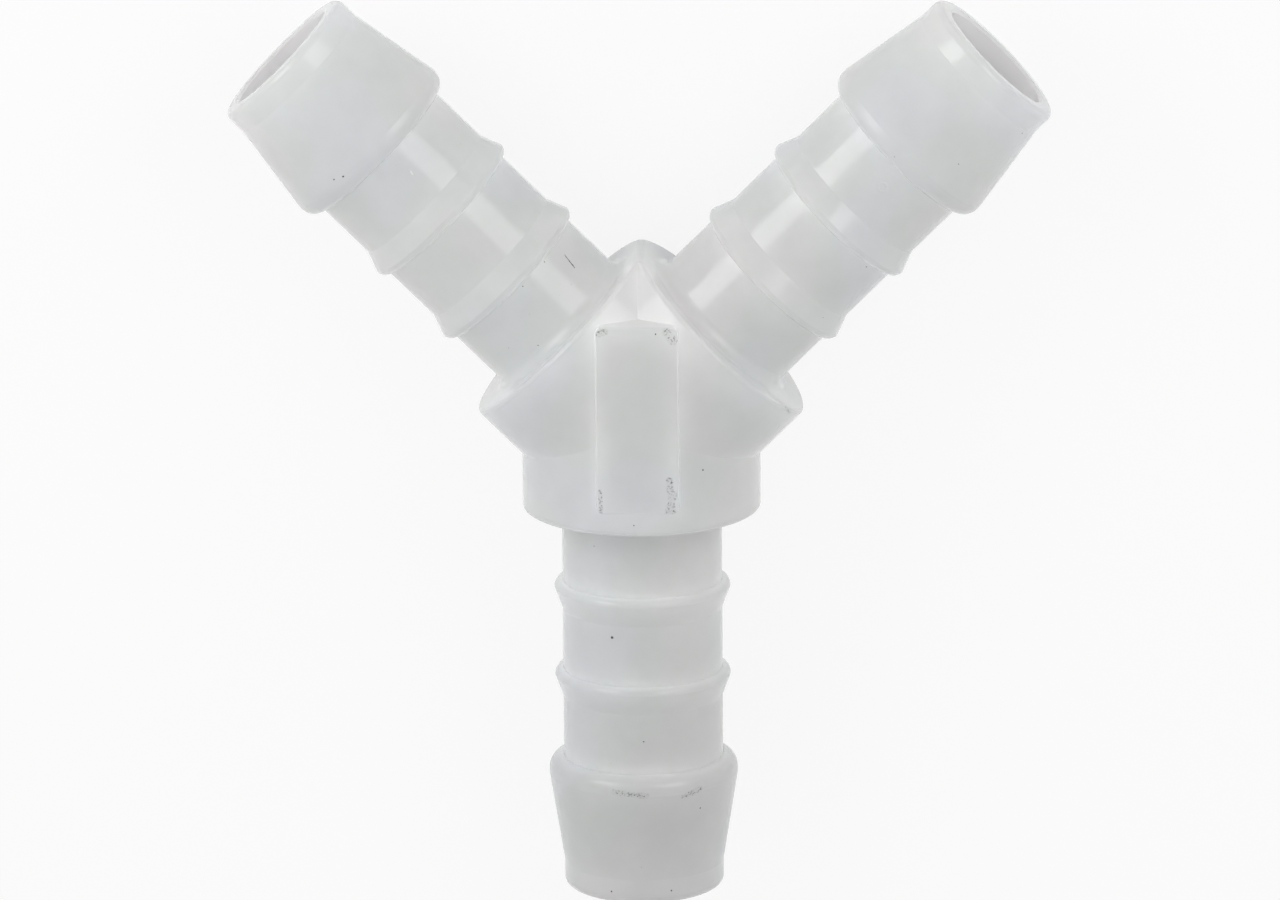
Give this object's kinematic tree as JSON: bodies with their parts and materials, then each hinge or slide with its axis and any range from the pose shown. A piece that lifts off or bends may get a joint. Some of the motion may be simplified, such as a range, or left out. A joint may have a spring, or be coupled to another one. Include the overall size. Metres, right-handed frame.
{
  "type": "tubing y connector",
  "caption": "Moulded plastic Y connector that joins three flexible hoses on barbed tails, with a thick body and a raised pad on the front.",
  "frame": {"origin": "the point where the axes of the three bores meet, inside the middle of the body", "axes": "+Y runs midway between the two arms, which point 45 degrees to either side of it; the leg points along -Y; +Z is out of the face with the raised pad, so the part lies on its back"},
  "size_m": [0.061, 0.068, 0.018],
  "materials": {
    "natural_plastic": "satin"
  },
  "bodies": {
    "root": {"y_connector": "natural_plastic"}
  },
  "joints": []
}
